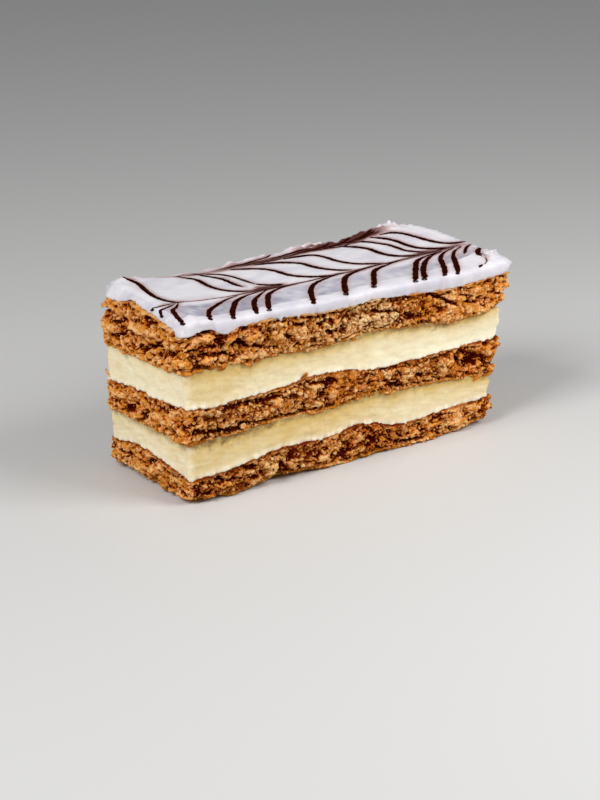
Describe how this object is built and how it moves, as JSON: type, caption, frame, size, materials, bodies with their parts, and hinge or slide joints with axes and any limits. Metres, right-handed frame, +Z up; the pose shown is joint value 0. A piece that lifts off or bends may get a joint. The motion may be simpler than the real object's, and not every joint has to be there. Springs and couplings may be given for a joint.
{
  "type": "mille feuille slice",
  "caption": "Oblong slice of mille feuille: baked puff pastry and custard cream in turn, under white fondant icing feathered with chocolate.",
  "frame": {"origin": "middle of the slice's box, on the table it stands on", "axes": "+X along the long side to the far, torn end; -Y out of the long cut side that shows most; +Z up"},
  "size_m": [0.1226, 0.0498, 0.0586],
  "materials": {
    "puff_pastry": "matte",
    "custard_cream": "satin",
    "fondant_icing": "satin"
  },
  "bodies": {
    "root": {"pastry_bottom": "puff_pastry", "cream_lower": "custard_cream", "pastry_middle": "puff_pastry", "cream_upper": "custard_cream", "pastry_top": "puff_pastry", "icing": "fondant_icing"}
  },
  "joints": []
}
